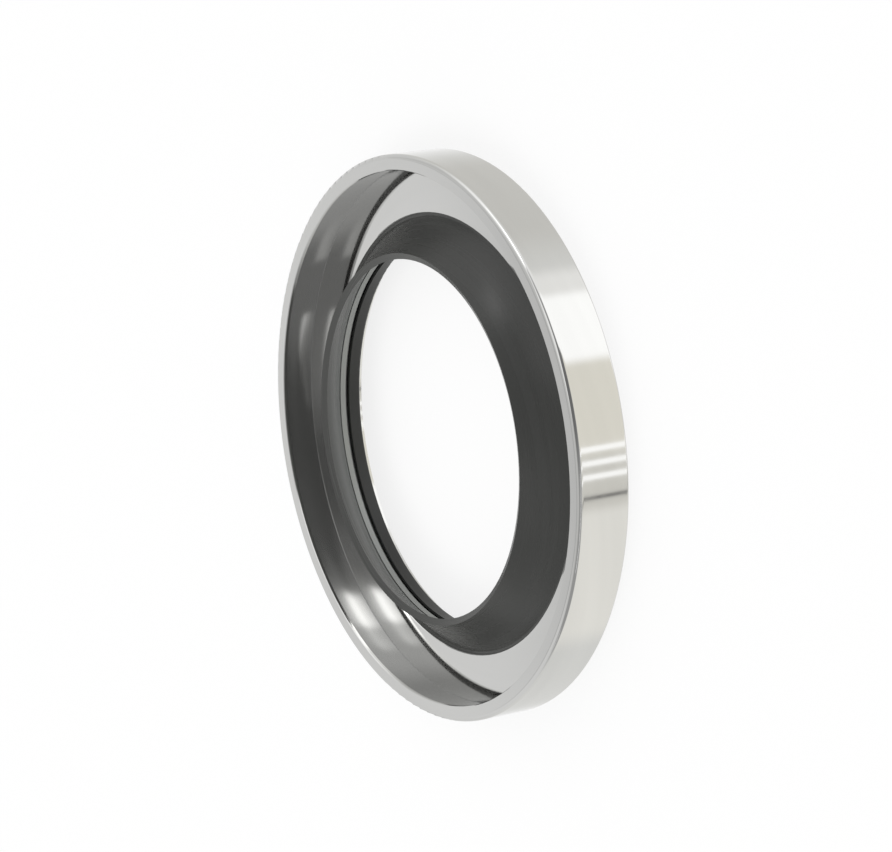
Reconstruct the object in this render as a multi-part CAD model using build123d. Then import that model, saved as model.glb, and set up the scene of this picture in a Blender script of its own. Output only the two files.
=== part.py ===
from build123d import *

import os
from math import atan2, cos, degrees, radians, sin

# Sizes in millimetres. The ring lies on its back face, with +Z along its axis to the open front.

# Shaft and housing that the seal is made for
shaft_radius = 35.0
outer_radius = 50.0
case_width = 10.0

# Outer case, a thin cup whose front edge is rolled inwards over the rest
case_wall = 1.5
case_flange = 0.8
case_bore_clearance = 1.0
case_back_round = 0.4
rim_reach = 2.8
rim_thickness = 0.6
rim_outer_round = 0.85
rim_inner_bevel = 0.12

# Inner case, the clamping ring: a thin sheet bent to an L, whose wall bows outwards a little
inner_sheet = 0.5
inner_bore_step = 4.15
inner_foot_round = 0.1
inner_wall_bow = 0.12
inner_edge_bevel = 0.12

# Primary lip, the thick disc formed inwards and forwards
primary_thickness = 1.25
primary_bite = 3.28
primary_relief = 0.25
primary_bend = 1.8
primary_tip_angle = 28.0
primary_stand = 0.4

# Support ring, a thin disc that follows the underside of the primary lip
support_thickness = 0.7
support_clearance = 0.25
support_shift = 0.15

# Secondary lip, a thin disc with a short and steep lip
secondary_thickness = 0.5
secondary_bite = 0.46
secondary_root = 0.55
secondary_bend = 0.7
secondary_reach = 2.65
secondary_tip_angle = 6.0

# Radial gap between the outer case and what is pressed into it
press_gap = 0.05

# Places worked out from the sizes
case_inner_radius = outer_radius - case_wall
case_bore_radius = shaft_radius + case_bore_clearance
seat_radius = case_inner_radius - press_gap
rim_radius = outer_radius - rim_reach
rim_underside = case_width - rim_thickness
support_seat = case_flange + secondary_thickness
primary_seat = support_seat + support_thickness
inner_seat = primary_seat + primary_thickness
inner_face = inner_seat + inner_sheet
inner_wall_radius = seat_radius - inner_sheet
inner_bore_radius = shaft_radius + inner_bore_step
support_radius = shaft_radius - support_clearance


class FormedDisc:
    """A flat disc whose inner part is formed up into a lip, described by its back surface.

    The back surface leaves the flat seat in a bend and runs on in one wide arc to the tip. The wide
    arc is worked out so that it leaves the bend smoothly and meets the tip at the tip's angle from
    the axis.
    """

    def __init__(self, start, seat, bend, tip, tip_angle):
        self.bend_centre = (start, seat + bend)
        self.bend = bend
        lean = (cos(radians(tip_angle)), sin(radians(tip_angle)))
        span = (tip[0] - start, tip[1] - seat - bend)
        across = span[0] * lean[0] + span[1] * lean[1]
        self.arc = (bend**2 - span[0]**2 - span[1]**2) / (2 * (across + bend))
        self.arc_centre = (tip[0] + self.arc * lean[0], tip[1] + self.arc * lean[1])
        rise = self.arc_centre[1] - self.bend_centre[1]
        run = self.arc_centre[0] - self.bend_centre[0]
        self.root_angle = degrees(atan2(rise, run))

    def on_bend(self, angle, front):
        """A point of the bend, at an angle from the axis and a distance to the front of the back."""
        reach = self.bend - front
        r, z = self.bend_centre
        return (r - reach * cos(radians(angle)), z - reach * sin(radians(angle)))

    def on_arc(self, angle, front):
        """A point of the wide arc, at an angle from the axis and a distance to the front of the back."""
        reach = self.arc - front
        r, z = self.arc_centre
        return (r - reach * cos(radians(angle)), z - reach * sin(radians(angle)))

    def angle_at(self, radius, front):
        """The angle of the wide arc where it passes a radius."""
        across = (self.arc_centre[0] - radius) / (self.arc - front)
        up = (1 - across**2) ** 0.5
        return degrees(atan2(up, across))

    def outline(self, end_angle, front):
        """The bend and the wide arc as edges, from the flat seat to the end angle."""
        root = self.root_angle
        half_bend = self.on_bend((90 + root) / 2, front)
        half_arc = self.on_arc((end_angle + root) / 2, front)
        bend = ThreePointArc(self.on_bend(90, front), half_bend, self.on_bend(root, front))
        arc = ThreePointArc(self.on_arc(root, front), half_arc, self.on_arc(end_angle, front))
        return [bend, arc]


def formed_profile(disc, outer, thickness, front, front_end, back_end):
    """The section of a formed disc between two end angles, one for each of its sides."""
    back = front - thickness
    back_flat = disc.on_bend(90, back)
    front_flat = disc.on_bend(90, front)
    back_outer = (outer, back_flat[1])
    front_outer = (outer, front_flat[1])
    tip = Line(disc.on_arc(front_end, front), disc.on_arc(back_end, back))
    flats = [Line(back_flat, back_outer), Line(back_outer, front_outer), Line(front_outer, front_flat)]
    return make_face(disc.outline(front_end, front) + disc.outline(back_end, back) + flats + [tip])


def bowed(start, end, bow):
    """An arc between two points of a section, whose middle stands outwards by the bow."""
    middle = ((start[0] + end[0]) / 2 + bow, (start[1] + end[1]) / 2)
    return ThreePointArc(start, middle, end)


def rounded(profile, corner, radius):
    """The profile with the corner nearest to a point (r, z) rounded off."""
    vertex = profile.vertices().sort_by_distance((corner[0], corner[1], 0))[0]
    return fillet([vertex], radius)


def bevelled(profile, corner, size):
    """The profile with the corner nearest to a point (r, z) cut off at 45 degrees."""
    vertex = profile.vertices().sort_by_distance((corner[0], corner[1], 0))[0]
    return chamfer([vertex], size)


def turned(profile):
    """The solid that a section makes when it is turned about the ring's axis."""
    return revolve(Plane.XZ * profile, axis=Axis.Z).solid()


# Outer case
case_profile = make_face(Polyline(
    (case_bore_radius, 0), (outer_radius, 0), (outer_radius, case_width), (rim_radius, case_width),
    (rim_radius, rim_underside), (case_inner_radius, rim_underside), (case_inner_radius, case_flange),
    (case_bore_radius, case_flange), close=True))
case_profile = rounded(case_profile, (outer_radius, 0), case_back_round)
case_profile = rounded(case_profile, (outer_radius, case_width), rim_outer_round)
case_profile = bevelled(case_profile, (rim_radius, case_width), rim_inner_bevel)
outer_case = turned(case_profile)

# Inner case
inner_foot = (inner_wall_radius - inner_wall_bow, inner_face)
inner_heel = (seat_radius - inner_wall_bow, inner_seat)
inner_front = (inner_foot[0], rim_underside)
inner_back = (inner_heel[0], rim_underside)
inner_bore = (inner_bore_radius, inner_face)
inner_profile = make_face([
    bowed(inner_front, inner_foot, inner_wall_bow),
    Line(inner_foot, inner_bore),
    Line(inner_bore, (inner_bore_radius, inner_seat)),
    Line((inner_bore_radius, inner_seat), inner_heel),
    bowed(inner_heel, inner_back, inner_wall_bow),
    Line(inner_back, inner_front)])
inner_profile = rounded(inner_profile, inner_foot, inner_foot_round)
inner_profile = rounded(inner_profile, inner_heel, inner_foot_round + inner_sheet)
inner_profile = bevelled(inner_profile, inner_bore, inner_edge_bevel)
inner_case = turned(inner_profile)

# Primary lip, whose tip stands a little proud of the case
primary_start = inner_bore_radius - primary_relief
primary_tip_radius = shaft_radius - primary_bite
primary_tip_height = case_width + primary_stand - primary_thickness * sin(radians(primary_tip_angle))
primary_form = FormedDisc(
    primary_start, primary_seat, primary_bend, (primary_tip_radius, primary_tip_height), primary_tip_angle)
primary_profile = formed_profile(
    primary_form, seat_radius, primary_thickness, primary_thickness, primary_tip_angle, primary_tip_angle)
primary_lip = turned(primary_profile)

# Support ring, cut off straight a little inside the shaft's surface
support_form = FormedDisc(
    primary_start - support_shift, primary_seat, primary_bend,
    (primary_tip_radius - support_shift, primary_tip_height), primary_tip_angle)
support_front_end = support_form.angle_at(support_radius, 0)
support_back_end = support_form.angle_at(support_radius, -support_thickness)
support_profile = formed_profile(
    support_form, seat_radius, support_thickness, 0, support_front_end, support_back_end)
support_ring = turned(support_profile)

# Secondary lip
secondary_start = shaft_radius + secondary_root
secondary_form = FormedDisc(
    secondary_start, case_flange, secondary_bend,
    (shaft_radius - secondary_bite, case_flange + secondary_reach), secondary_tip_angle)
secondary_profile = formed_profile(
    secondary_form, seat_radius, secondary_thickness, secondary_thickness,
    secondary_tip_angle, secondary_tip_angle)
secondary_lip = turned(secondary_profile)

# One file for each real piece
os.makedirs("parts", exist_ok=True)
export_step(outer_case, "parts/outer_case.step")
export_step(inner_case, "parts/inner_case.step")
export_step(primary_lip, "parts/primary_lip.step")
export_step(support_ring, "parts/support_ring.step")
export_step(secondary_lip, "parts/secondary_lip.step")
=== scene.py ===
"""A PTFE rotary shaft seal, lying on its back face: its finishes, a light tent and the camera.

The rings are turned parts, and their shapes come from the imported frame. This script gives each ring
its surface, puts a light tent round it and looks down on it from the side that the photograph shows.
Lengths are in metres, in the frame's own axes: +Z runs from the back face to the open front.
"""

import logging
import math
from dataclasses import dataclass, field
from enum import Enum
from typing import Optional, Union

import bpy
from mathutils import Matrix, Vector


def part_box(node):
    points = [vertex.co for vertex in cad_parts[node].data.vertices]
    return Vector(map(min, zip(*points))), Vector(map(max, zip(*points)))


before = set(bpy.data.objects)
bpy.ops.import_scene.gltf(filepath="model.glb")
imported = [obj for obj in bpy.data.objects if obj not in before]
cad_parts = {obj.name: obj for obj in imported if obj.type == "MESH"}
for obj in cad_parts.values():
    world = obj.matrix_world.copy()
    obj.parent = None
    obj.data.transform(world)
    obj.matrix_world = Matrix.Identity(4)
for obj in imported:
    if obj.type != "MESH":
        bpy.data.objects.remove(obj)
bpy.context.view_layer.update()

MM: float = 0.001

# Levels of the inner case: the rolled rim rests on its top, and its flange is one sheet thick
INNER_SHEET: float = 0.5 * MM
FLANGE_FRONT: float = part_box("inner_case")[0].z + INNER_SHEET
RIM_UNDERSIDE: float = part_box("inner_case")[1].z

Colour = tuple[float, float, float]
Band = tuple[float, float]
Socket = bpy.types.NodeSocket
Value = Union[Socket, float, int, tuple]

WHITE: Colour = (1.0, 1.0, 1.0)
STEEL: Colour = (0.80, 0.80, 0.785)
UP: Vector = Vector((0.0, 0.0, 1.0))

log = logging.getLogger("seal")


class Ray(Enum):
    """The kinds of ray that the tent and the floor tell apart."""

    CAMERA = "Is Camera Ray"
    GLOSSY = "Is Glossy Ray"
    DIFFUSE = "Is Diffuse Ray"


def direction(azimuth: float, elevation: float) -> Vector:
    """A direction, as it is seen from the seal.

    Args:
        azimuth: Its angle from +X towards +Y, in degrees.
        elevation: Its height above the floor's level, in degrees.

    Returns:
        A vector of length 1.
    """
    turn = math.radians(azimuth)
    lift = math.radians(elevation)
    return Vector((math.cos(turn) * math.cos(lift), math.sin(turn) * math.cos(lift), math.sin(lift)))


class Graph:
    """A node tree with short calls for the nodes that the finishes and the tent are made of."""

    def __init__(self, tree: bpy.types.NodeTree) -> None:
        """Empties the tree.

        Args:
            tree: The node tree of a material or a world.
        """
        self.tree = tree
        tree.nodes.clear()

    def node(self, kind: str, **settings: object) -> bpy.types.Node:
        """Adds a node.

        Args:
            kind: Blender's name for the node's type.
            settings: Properties of the node.

        Returns:
            The new node.
        """
        made = self.tree.nodes.new(kind)
        for name, value in settings.items():
            setattr(made, name, value)
        return made

    def put(self, socket: Socket, value: Value) -> None:
        """Links a socket to another, or sets its value.

        Args:
            socket: The input that is fed.
            value: An output to link from, or a plain value.
        """
        if isinstance(value, bpy.types.NodeSocket):
            self.tree.links.new(value, socket)
        else:
            socket.default_value = value

    def math(self, operation: str, first: Value, second: Value = 0.0, third: Value = 0.0) -> Socket:
        """A sum on up to three numbers.

        Args:
            operation: Blender's name for the operation.
            first: The first number.
            second: The second number.
            third: The third number.

        Returns:
            The result.
        """
        made = self.node("ShaderNodeMath", operation=operation)
        for socket, value in zip(made.inputs, (first, second, third)):
            self.put(socket, value)
        return made.outputs[0]

    def dot(self, vector: Socket, axis: Vector) -> Socket:
        """How far a vector reaches along a fixed axis.

        Args:
            vector: The vector.
            axis: The axis, a vector of length 1.

        Returns:
            The reach.
        """
        made = self.node("ShaderNodeVectorMath", operation="DOT_PRODUCT")
        self.put(made.inputs[0], vector)
        self.put(made.inputs[1], tuple(axis))
        return made.outputs["Value"]

    def ease(self, value: Value, band: Band, low: float = 0.0, high: float = 1.0) -> Socket:
        """A soft step.

        Args:
            value: The number that is followed.
            band: Where the step starts and where it ends.
            low: The result before the start.
            high: The result after the end.

        Returns:
            A number that eases from low to high.
        """
        made = self.node("ShaderNodeMapRange", interpolation_type="SMOOTHSTEP")
        for name, number in (("Value", value), ("From Min", band[0]), ("From Max", band[1]),
                             ("To Min", low), ("To Max", high)):
            self.put(made.inputs[name], number)
        return made.outputs["Result"]

    def blend(self, share: Value, first: Value, second: Value) -> Socket:
        """A blend of two colours.

        Args:
            share: How much of the second colour comes in, from 0 to 1.
            first: The first colour.
            second: The second colour.

        Returns:
            The blended colour.
        """
        made = self.node("ShaderNodeMix", data_type="RGBA", clamp_factor=True)
        self.put(made.inputs[0], share)
        self.put(made.inputs[6], first if isinstance(first, Socket) else (*first, 1.0))
        self.put(made.inputs[7], second if isinstance(second, Socket) else (*second, 1.0))
        return made.outputs[2]

    def noise(self, place: Socket, scale: float, detail: float, rough: float) -> Socket:
        """Soft noise between 0 and 1.

        Args:
            place: Where the noise is read.
            scale: How many waves fit in one unit of the place.
            detail: How many finer layers are added.
            rough: How strong the finer layers are.

        Returns:
            The noise's value.
        """
        made = self.node("ShaderNodeTexNoise", noise_dimensions="3D")
        self.put(made.inputs["Vector"], place)
        self.put(made.inputs["Scale"], scale)
        self.put(made.inputs["Detail"], detail)
        self.put(made.inputs["Roughness"], rough)
        return made.outputs["Fac"]

    def relief(self, shader: bpy.types.Node, height: Socket, depth: float) -> None:
        """Gives a shader a fine relief.

        Args:
            shader: The shader's node.
            height: The relief's height, from 0 to 1.
            depth: How deep it is.
        """
        bump = self.node("ShaderNodeBump")
        bump.inputs["Strength"].default_value = 1.0
        bump.inputs["Distance"].default_value = depth
        self.put(bump.inputs["Height"], height)
        self.put(shader.inputs["Normal"], bump.outputs[0])

    def show(self, shader: bpy.types.Node, kind: str = "ShaderNodeOutputMaterial") -> None:
        """Sends a shader to the tree's output.

        Args:
            shader: The shader's node.
            kind: Blender's name for the output's type.
        """
        out = self.node(kind)
        self.put(out.inputs["Surface"], shader.outputs[0])


@dataclass(frozen=True)
class TurnedPlace:
    """Places on a turned surface, read off the object's own axes."""

    graph: Graph

    def parts(self) -> tuple[Socket, Socket, Socket]:
        """Splits the place up.

        Returns:
            The object's x, y and z.
        """
        place = self.graph.node("ShaderNodeTexCoord").outputs["Object"]
        split = self.graph.node("ShaderNodeSeparateXYZ")
        self.graph.put(split.inputs[0], place)
        return split.outputs[0], split.outputs[1], split.outputs[2]

    def radius(self) -> Socket:
        """Measures how far out the place is.

        Returns:
            The distance from the ring's axis.
        """
        x, y, _ = self.parts()
        squares = [self.graph.math("MULTIPLY", part, part) for part in (x, y)]
        return self.graph.math("SQRT", self.graph.math("ADD", *squares))

    def section(self, along: float) -> Socket:
        """A place that changes across the section and little or not at all round the ring.

        Args:
            along: How much of the way round the ring comes in, as a share of the real length.

        Returns:
            A vector of the radius, the height and a little of the way round.
        """
        x, y, z = self.parts()
        joined = self.graph.node("ShaderNodeCombineXYZ")
        spread = self.graph.node("ShaderNodeCombineXYZ")
        self.graph.put(joined.inputs[0], self.radius())
        self.graph.put(joined.inputs[1], z)
        self.graph.put(spread.inputs[0], self.graph.math("MULTIPLY", x, along))
        self.graph.put(spread.inputs[1], self.graph.math("MULTIPLY", y, along))
        made = self.graph.node("ShaderNodeVectorMath", operation="ADD")
        self.graph.put(made.inputs[0], joined.outputs[0])
        self.graph.put(made.inputs[1], spread.outputs[0])
        return made.outputs[0]


@dataclass(frozen=True)
class Pattern:
    """A pattern that was left on a ring while it turned.

    Attributes:
        along: How quickly it changes along its way round the ring, as a share.
        waves: How many of its waves fit in a metre of the section.
        detail: How many finer layers it has.
        rough: How strong the finer layers are.
    """

    along: float
    waves: float
    detail: float
    rough: float

    def on(self, place: TurnedPlace) -> Socket:
        """The pattern's value at a place, from 0 to 1."""
        return place.graph.noise(place.section(self.along), self.waves, self.detail, self.rough)


@dataclass(frozen=True)
class Steel:
    """Stainless steel that was turned or rolled, and polished.

    Attributes:
        name: The material's name.
        colour: The steel's own colour.
        roughness: How dull it is where it is cleanest.
        haze: How much duller it gets in patches.
        mark_pitch: The distance between tool marks.
        mark_depth: How deep the tool marks are.
        mark_run: How quickly a tool mark fades along its way round the ring.
        mark_haze: How much of the haze the tool marks add.
        smears: The patches that polishing left.
        smear_shade: The share of its colour that is left in a smear.
        smear_band: Where the smears' pattern goes from darkest to clean.
        haze_band: Where the smears' pattern goes from clean to dullest.
        metal: How much of it is bare metal, where the rest is a thin grey film.
        dull_from: The height from which the ring is left as it was drawn, if any of it is.
        dull_fade: The height over which that begins.
        dull_colour: The steel's colour there.
        dull_extra: How much duller it is there.
        dull_metal: How much of it is bare metal there.
        rim_shadow_level: The height of a narrow underside that gets a painted shadow, if there is one.
        rim_shadow_band: How near to that height the painted shadow is whole, and where it is gone.
        rim_shadow_within: The radius that the painted shadow lies within.
        rim_shadow_fade: The distance over which it ends.
        rim_shadow_colour: The colour of the painted shadow.
    """

    name: str
    colour: Colour
    roughness: float
    haze: float
    mark_pitch: float
    mark_depth: float
    mark_run: float = 0.004
    mark_haze: float = 0.4
    smears: Pattern = Pattern(along=0.15, waves=90.0, detail=3.0, rough=0.55)
    smear_shade: float = 0.93
    smear_band: Band = (0.3, 0.7)
    haze_band: Band = (0.35, 0.8)
    metal: float = 1.0
    dull_from: Optional[float] = None
    dull_fade: float = 0.02 * MM
    dull_colour: Colour = (0.36, 0.36, 0.355)
    dull_extra: float = 0.07
    dull_metal: float = 0.85
    # A dark ring painted on a narrow underside: painted shadow under an overhang
    rim_shadow_level: Optional[float] = None
    rim_shadow_band: Band = (0.02 * MM, 0.05 * MM)
    rim_shadow_within: float = 48.6 * MM
    rim_shadow_fade: float = 0.1 * MM
    rim_shadow_colour: Colour = (0.22, 0.22, 0.22)

    def rim_shadow(self, place: TurnedPlace, level: float) -> Socket:
        """Where the painted shadow under the rim's overhang lies.

        Args:
            place: The place on the ring.
            level: The height of the underside that gets it.

        Returns:
            1 on the painted shadow and 0 off it.
        """
        graph = place.graph
        off = graph.math("ABSOLUTE", graph.math("SUBTRACT", place.parts()[2], level))
        edge = (self.rim_shadow_within, self.rim_shadow_within + self.rim_shadow_fade)
        return graph.math("MULTIPLY", graph.ease(off, self.rim_shadow_band, 1.0, 0.0),
                          graph.ease(place.radius(), edge, 1.0, 0.0))

    def material(self) -> bpy.types.Material:
        """Builds the material.

        Returns:
            The finished material.
        """
        made = bpy.data.materials.new(self.name)
        made.use_nodes = True
        graph = Graph(made.node_tree)
        place = TurnedPlace(graph)
        shader = graph.node("ShaderNodeBsdfPrincipled")
        marks = Pattern(self.mark_run, 1.0 / self.mark_pitch, 3.0, 0.65).on(place)
        smears = self.smears.on(place)
        smeared = tuple(self.smear_shade * part for part in self.colour)
        shade = graph.blend(graph.ease(smears, self.smear_band), smeared, self.colour)
        dull = graph.math("MULTIPLY_ADD", graph.ease(smears, self.haze_band), self.haze, self.roughness)
        shader.inputs["Metallic"].default_value = self.metal
        if self.dull_from is not None:
            drawn = graph.ease(place.parts()[2], (self.dull_from, self.dull_from + self.dull_fade))
            shade = graph.blend(drawn, shade, self.dull_colour)
            dull = graph.math("MULTIPLY_ADD", drawn, self.dull_extra, dull)
            metal = graph.math("MULTIPLY_ADD", drawn, self.dull_metal - self.metal, self.metal)
            graph.put(shader.inputs["Metallic"], metal)
        # Painted shadow: the rim's underside is darkened where the rolled edge overhangs the inner case
        if self.rim_shadow_level is not None:
            shade = graph.blend(self.rim_shadow(place, self.rim_shadow_level), shade, self.rim_shadow_colour)
        dull = graph.math("MULTIPLY_ADD", marks, self.mark_haze * self.haze, dull)
        graph.put(shader.inputs["Base Color"], shade)
        graph.put(shader.inputs["Roughness"], dull)
        graph.relief(shader, marks, self.mark_depth)
        graph.show(shader)
        return made


@dataclass(frozen=True)
class Ptfe:
    """Carbon-filled PTFE: black, smooth and a little glossy, with fine turning marks.

    Attributes:
        name: The material's name.
        colour: The colour of the filled plastic.
        pale: The colour of its streaks from rubbing and turning.
        roughness: How dull it is.
        mark_pitch: The distance between turning marks.
        mark_depth: How deep the turning marks are.
        mark_run: How quickly a turning mark fades along its way round the ring.
        streaks: The streaks that handling left.
        streak_band: Where the streaks' pattern goes from the plastic's colour to the pale one.
        streak_dull: How much duller the palest streak is than the darkest.
        grain_waves: How many of the filler's grains fit in a metre.
        grain_share: How strong the grain is beside the turning marks.
        index: How strongly the plastic bends light.
        painted_sheen: The lighter grey of the inner side, a painted sheen in place of the light it
            reflects from below, if it has one.
        sheen_facing: How far a face looks down where it counts as the inner side, and where not.
        sheen_foot: The height up to which the painted sheen is strongest.
        sheen_tip: The height where the painted sheen has nearly faded.
        sheen_left: The share of the painted sheen that is left there.
    """

    name: str
    colour: Colour
    pale: Colour
    roughness: float
    mark_pitch: float
    mark_depth: float
    mark_run: float = 0.01
    streaks: Pattern = Pattern(along=0.05, waves=600.0, detail=3.0, rough=0.55)
    streak_band: Band = (0.45, 0.75)
    streak_dull: float = 0.12
    grain_waves: float = 9000.0
    grain_share: float = 0.3
    index: float = 1.4
    # A painted sheen: the downward-facing inner side is painted lighter grey in place of reflected light
    painted_sheen: Optional[Colour] = None
    sheen_facing: Band = (-0.25, -0.1)
    sheen_foot: float = 5.3 * MM
    sheen_tip: float = 9.8 * MM
    sheen_left: float = 0.1

    def painted_sheen_mask(self, place: TurnedPlace) -> Socket:
        """Where the inner side gets its painted sheen.

        Args:
            place: The place on the ring.

        Returns:
            1 where the painted sheen is strongest and 0 off the inner side.
        """
        graph = place.graph
        facing = graph.dot(graph.node("ShaderNodeTexCoord").outputs["Normal"], UP)
        height = (self.sheen_foot, self.sheen_tip)
        return graph.math("MULTIPLY", graph.ease(facing, self.sheen_facing, 1.0, 0.0),
                          graph.ease(place.parts()[2], height, 1.0, self.sheen_left))

    def material(self) -> bpy.types.Material:
        """Builds the material.

        Returns:
            The finished material.
        """
        made = bpy.data.materials.new(self.name)
        made.use_nodes = True
        graph = Graph(made.node_tree)
        place = TurnedPlace(graph)
        shader = graph.node("ShaderNodeBsdfPrincipled")
        shader.inputs["IOR"].default_value = self.index
        marks = Pattern(self.mark_run, 1.0 / self.mark_pitch, 4.0, 0.6).on(place)
        grain = graph.noise(graph.node("ShaderNodeTexCoord").outputs["Object"], self.grain_waves, 2.0, 0.6)
        streaks = self.streaks.on(place)
        shade = graph.blend(graph.ease(streaks, self.streak_band), self.colour, self.pale)
        # Painted sheen: the inner side, which faces down, is painted lighter, most near its foot
        if self.painted_sheen is not None:
            shade = graph.blend(self.painted_sheen_mask(place), shade, self.painted_sheen)
        glossiest = self.roughness - self.streak_dull / 2
        graph.put(shader.inputs["Base Color"], shade)
        graph.put(shader.inputs["Roughness"],
                  graph.math("MULTIPLY_ADD", streaks, self.streak_dull, glossiest))
        graph.relief(shader, graph.math("MULTIPLY_ADD", grain, self.grain_share, marks), self.mark_depth)
        graph.show(shader)
        return made


@dataclass
class Ring:
    """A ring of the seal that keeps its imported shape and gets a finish.

    Attributes:
        node: The ring's node in the frame.
        finish: What its surface is.
    """

    node: str
    finish: Union[Steel, Ptfe]

    def dress(self) -> bpy.types.Object:
        """Puts the finish on every slot of the ring.

        Returns:
            The ring's object.
        """
        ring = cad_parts[self.node]
        material = self.finish.material()
        ring.data.materials.clear()
        ring.data.materials.append(material)
        for face in ring.data.polygons:
            face.material_index = 0
        log.info("%s: %s", self.node, self.finish.name)
        return ring


@dataclass
class Case:
    """The steel case.

    Attributes:
        outer: The cup with its rolled edge.
        inner: The clamping ring in it, dull on the inside of its drawn wall.
    """

    outer: Ring = field(default_factory=lambda: Ring("outer_case", Steel(
        name="turned steel", colour=STEEL, roughness=0.06, haze=0.05,
        # its rim's underside gets a painted shadow
        mark_pitch=0.12 * MM, mark_depth=0.0003 * MM, rim_shadow_level=RIM_UNDERSIDE)))
    inner: Ring = field(default_factory=lambda: Ring("inner_case", Steel(
        name="polished steel", colour=STEEL, roughness=0.035, haze=0.03,
        mark_pitch=0.15 * MM, mark_depth=0.0002 * MM, dull_from=FLANGE_FRONT + 0.001 * MM)))

    def build(self) -> None:
        """Dresses both rings."""
        self.outer.dress()
        self.inner.dress()


@dataclass
class Lips:
    """The formed discs.

    Attributes:
        primary: The sealing lip.
        support: The steel ring that backs it.
        secondary: The small second lip.
    """

    # The sealing lip's inner side has a painted sheen
    primary: Ring = field(default_factory=lambda: Ring("primary_lip", Ptfe(
        name="black PTFE", colour=(0.060, 0.061, 0.058), pale=(0.066, 0.067, 0.064), roughness=0.27,
        mark_pitch=0.2 * MM, mark_depth=0.0004 * MM, painted_sheen=(0.17, 0.175, 0.17))))
    support: Ring = field(default_factory=lambda: Ring("support_ring", Steel(
        name="rolled sheet", colour=(0.33, 0.34, 0.33), roughness=0.42, haze=0.1,
        mark_pitch=0.1 * MM, mark_depth=0.002 * MM, metal=0.6)))
    # The second lip's PTFE is painted darker than the sealing lip's: painted shade for its place deep
    # behind the support ring
    secondary: Ring = field(default_factory=lambda: Ring("secondary_lip", Ptfe(
        name="thin black PTFE", colour=(0.024, 0.025, 0.024), pale=(0.030, 0.031, 0.030), roughness=0.38,
        mark_pitch=0.2 * MM, mark_depth=0.001 * MM)))

    def build(self) -> None:
        """Dresses the three discs."""
        self.primary.dress()
        self.support.dress()
        self.secondary.dress()


@dataclass(frozen=True)
class Card:
    """A soft panel of the light tent, as it is seen from the seal.

    Attributes:
        azimuth: The direction of its middle, in degrees from +X towards +Y.
        elevation: The height of its middle above the floor's level, in degrees.
        width: Its whole width, in degrees.
        height: Its whole height, in degrees.
        edge: How wide its soft edge is, in degrees.
        light: Its strength, where 1 is white.
        warmth: How much of the blue is missing, as a share.
        warm_green: How much of the green is missing for each share of the blue.
    """

    azimuth: float
    elevation: float
    width: float
    height: float
    edge: float
    light: float
    warmth: float = 0.0
    warm_green: float = 0.25

    def axes(self) -> tuple[Vector, Vector, Vector]:
        """Works out how the card is turned.

        Returns:
            The directions to its middle, along its width and along its height.
        """
        middle = direction(self.azimuth, self.elevation)
        across = direction(self.azimuth + 90.0, 0.0)
        return middle, across, middle.cross(across)

    def window(self, graph: Graph, toward: Socket) -> Socket:
        """How much of a direction the card covers.

        Args:
            graph: The tent's graph.
            toward: The direction that is looked in.

        Returns:
            1 on the card and 0 off it, with soft edges.
        """
        middle, across, up = self.axes()
        ahead = graph.dot(toward, middle)
        side = graph.math("ARCTAN2", graph.dot(toward, across), ahead)
        rise = graph.math("ARCSINE", graph.dot(toward, up))
        shares = []
        for angle, size in ((side, self.width), (rise, self.height)):
            inner = math.radians(max(size - self.edge, 0.0) / 2)
            outer = math.radians((size + self.edge) / 2)
            shares.append(graph.ease(graph.math("ABSOLUTE", angle), (inner, outer), 1.0, 0.0))
        return graph.math("MULTIPLY", *shares)

    def colour(self) -> Colour:
        """The card's light as a colour."""
        green = 1 - self.warm_green * self.warmth
        return (self.light, self.light * green, self.light * (1 - self.warmth))


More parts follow.
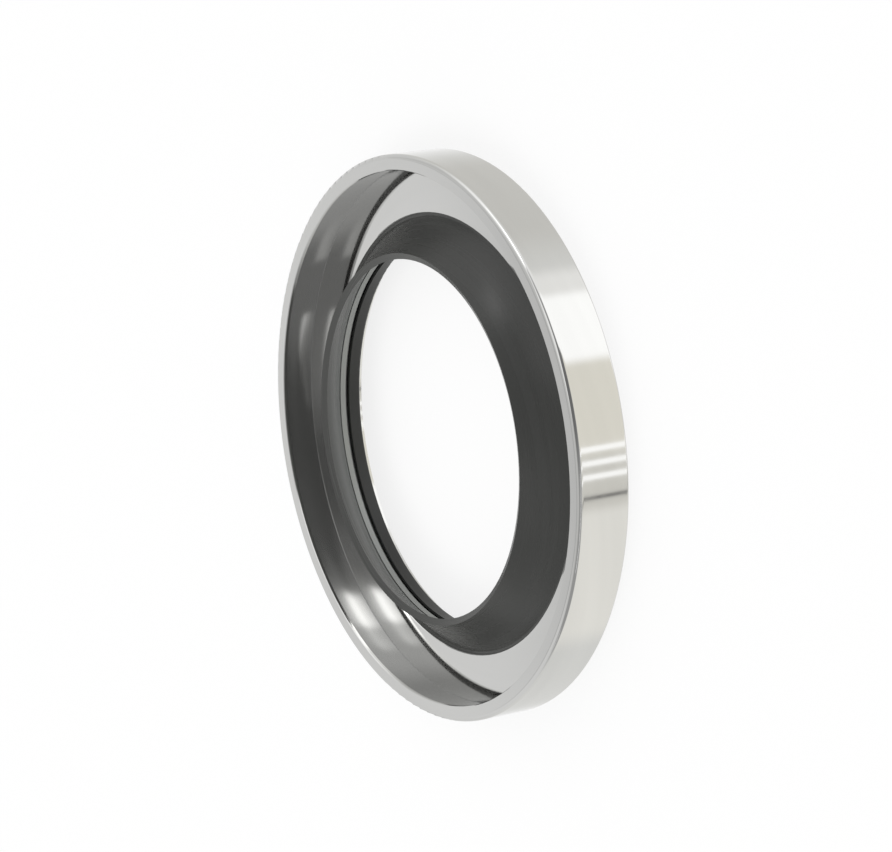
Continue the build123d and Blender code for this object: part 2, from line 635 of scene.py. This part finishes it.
@dataclass
class Tent:
    """The light tent round the seal, white to the camera and plain panels to the steel.

    Attributes:
        low: The light from below the seal's front.
        high: The light from above it.
        rise: Where low light goes over into high light, as a height on a ball of radius 1.
        fill: The light that reaches dull surfaces.
        cards: The panels. Where two of them meet, the later one is in front.
    """

    low: Colour = (0.76, 0.76, 0.745)
    high: Colour = (0.60, 0.60, 0.595)
    rise: Band = (0.14, 0.45)
    fill: Colour = (0.90, 0.90, 0.90)
    cards: tuple[Card, ...] = (
        # The room in front of the camera, and its darker middle
        Card(160.0, 38.0, 138.0, 64.0, 24.0, 0.37),
        Card(193.0, 34.0, 42.0, 66.0, 30.0, 0.17),
        # A lamp beside the camera with its glow, and the lighter room over and under the dark middle
        Card(276.0, 31.0, 44.0, 40.0, 24.0, 1.08),
        Card(267.0, 28.5, 24.0, 5.0, 6.0, 1.9),
        Card(257.0, 28.5, 16.0, 6.0, 5.0, 4.2),
        Card(234.0, 64.0, 26.0, 36.0, 6.0, 0.95),
        Card(234.0, 3.0, 40.0, 30.0, 6.0, 0.95),
        # Two narrow strips of light on the other side of the room
        Card(78.0, 27.5, 30.0, 3.0, 2.5, 1.0),
        Card(142.0, 28.0, 36.0, 2.2, 1.5, 1.9),
        # The bright wall behind the seal, and its darker upper part
        Card(48.0, 34.0, 50.0, 44.0, 20.0, 0.74),
        Card(338.0, 5.0, 46.0, 38.0, 12.0, 0.70),
        Card(27.0, 0.0, 40.0, 32.0, 12.0, 0.70),
        Card(8.0, 32.0, 34.0, 40.0, 20.0, 0.74),
        Card(5.0, 47.0, 22.0, 29.0, 3.0, 0.48),
        Card(0.0, -31.0, 36.0, 40.0, 24.0, 0.95),
        # The table in front of the seal
        Card(120.0, -33.0, 60.0, 60.0, 12.0, 0.90, 0.06),
        Card(160.0, -33.0, 24.0, 60.0, 5.0, 0.72, 0.08),
        Card(189.5, -33.0, 36.0, 60.0, 6.0, 0.85, 0.12),
        Card(236.0, -33.0, 14.0, 60.0, 6.0, 0.95, 0.02),
        Card(219.5, -27.0, 24.0, 78.0, 4.0, 1.25),
        Card(290.0, -33.0, 56.0, 60.0, 20.0, 0.66, 0.05),
        # Three strips of light on the table, and the dark edge beside them
        Card(170.0, -33.0, 1.8, 60.0, 0.5, 1.3),
        Card(164.5, -33.0, 1.8, 60.0, 0.5, 1.3),
        Card(159.0, -33.0, 1.8, 60.0, 0.5, 1.3),
        Card(150.6, -33.0, 1.2, 60.0, 0.4, 0.12),
    )

    def build(self) -> None:
        """Builds the world."""
        world = bpy.data.worlds.new("light tent")
        world.use_nodes = True
        bpy.context.scene.world = world
        graph = Graph(world.node_tree)
        toward = graph.node("ShaderNodeTexCoord").outputs["Generated"]
        seen = graph.blend(graph.ease(graph.dot(toward, UP), self.rise), self.low, self.high)
        for card in self.cards:
            seen = graph.blend(card.window(graph, toward), seen, card.colour())
        path = graph.node("ShaderNodeLightPath")
        shown = graph.blend(path.outputs[Ray.DIFFUSE.value], seen, self.fill)
        shown = graph.blend(path.outputs[Ray.CAMERA.value], shown, WHITE)
        background = graph.node("ShaderNodeBackground")
        graph.put(background.inputs["Color"], shown)
        background.inputs["Strength"].default_value = 1.0
        graph.show(background, "ShaderNodeOutputWorld")
        log.info("light tent: %d cards", len(self.cards))


@dataclass
class Floor:
    """The white floor that the seal lies on. The steel sees the tent in its place.

    Attributes:
        size: The length of its sides.
        glow: The part of its white that doesn't take a shadow.
        paper: The colour of the part that does.
    """

    size: float = 4.0
    glow: float = 0.80
    paper: Colour = (0.90, 0.90, 0.90)

    def build(self) -> bpy.types.Object:
        """Builds the floor.

        Returns:
            The floor's object.
        """
        half = self.size / 2
        corners = [(-half, -half, 0), (half, -half, 0), (half, half, 0), (-half, half, 0)]
        mesh = bpy.data.meshes.new("floor")
        mesh.from_pydata(corners, [], [(0, 1, 2, 3)])
        floor = bpy.data.objects.new("floor", mesh)
        bpy.context.scene.collection.objects.link(floor)
        mesh.materials.append(self.material())
        log.info("floor: %.1f m", self.size)
        return floor

    def material(self) -> bpy.types.Material:
        """Builds the floor's material.

        Returns:
            White paper to the camera, and nothing to the steel.
        """
        made = bpy.data.materials.new("white paper")
        made.use_nodes = True
        graph = Graph(made.node_tree)
        paper = graph.node("ShaderNodeBsdfDiffuse")
        paper.inputs["Color"].default_value = (*self.paper, 1.0)
        glow = graph.node("ShaderNodeEmission")
        glow.inputs["Strength"].default_value = 1.0
        shown = graph.node("ShaderNodeMixShader")
        shown.inputs[0].default_value = self.glow
        graph.put(shown.inputs[1], paper.outputs[0])
        graph.put(shown.inputs[2], glow.outputs[0])
        path = graph.node("ShaderNodeLightPath")
        open_air = graph.node("ShaderNodeBsdfTransparent")
        to_steel = graph.node("ShaderNodeMixShader")
        graph.put(to_steel.inputs[0], path.outputs[Ray.GLOSSY.value])
        graph.put(to_steel.inputs[1], shown.outputs[0])
        graph.put(to_steel.inputs[2], open_air.outputs[0])
        graph.show(to_steel)
        return made


@dataclass
class Lamp:
    """A large soft lamp high over the seal, which gives the floor its shadow.

    Attributes:
        azimuth: Its direction, in degrees from +X towards +Y.
        elevation: Its height above the floor's level, in degrees.
        spread: How wide it looks from the seal, in degrees.
        strength: The light that it gives.
    """

    azimuth: float = 60.0
    elevation: float = 62.0
    spread: float = 35.0
    strength: float = 0.7

    def build(self) -> None:
        """Builds the lamp."""
        sun = bpy.data.lights.new("soft lamp", "SUN")
        sun.energy = self.strength
        sun.angle = math.radians(self.spread)
        lamp = bpy.data.objects.new("soft lamp", sun)
        lamp.rotation_mode = "QUATERNION"
        lamp.rotation_quaternion = direction(self.azimuth, self.elevation).to_track_quat("Z", "Y")
        lamp.visible_glossy = False
        bpy.context.scene.collection.objects.link(lamp)
        log.info("lamp at %.0f degrees up", self.elevation)


@dataclass
class Viewpoint:
    """The camera, where the photograph was taken from.

    Attributes:
        place: Where it stands.
        right: What lies to the right of the picture.
        down: What lies below in the picture.
        lens: Its focal length in millimetres.
        sensor: The width of its sensor in millimetres.
        reach: The nearest and the farthest that it sees.
    """

    place: Vector = field(default_factory=lambda: Vector((-0.553687, -0.049027, 0.336959)))
    right: Vector = field(default_factory=lambda: Vector((-0.519100, 0.120592, -0.846164)))
    down: Vector = field(default_factory=lambda: Vector((0.0, 0.989997, 0.141090)))
    lens: float = 149.097
    sensor: float = 36.0
    reach: Band = (0.01, 20.0)

    def build(self) -> bpy.types.Object:
        """Builds the camera and makes it the scene's own.

        Returns:
            The camera.
        """
        data = bpy.data.cameras.new("camera")
        data.lens = self.lens
        data.sensor_width = self.sensor
        data.clip_start, data.clip_end = self.reach
        camera = bpy.data.objects.new("camera", data)
        across = self.right.normalized()
        up = (-self.down - (-self.down).dot(across) * across).normalized()
        back = across.cross(up)
        camera.matrix_world = Matrix((
            (across.x, up.x, back.x, self.place.x),
            (across.y, up.y, back.y, self.place.y),
            (across.z, up.z, back.z, self.place.z),
            (0.0, 0.0, 0.0, 1.0)))
        bpy.context.scene.collection.objects.link(camera)
        bpy.context.scene.camera = camera
        log.info("camera: %.0f mm lens", self.lens)
        return camera


def main() -> None:
    """Dresses the seal and sets up the tent, the lamp, the floor and the camera."""
    logging.basicConfig(level=logging.INFO, format="%(name)s: %(message)s")
    bpy.context.scene.view_settings.view_transform = "Standard"
    Case().build()
    Lips().build()
    Tent().build()
    Lamp().build()
    Floor().build()
    Viewpoint().build()


if __name__ == "__main__":
    main()
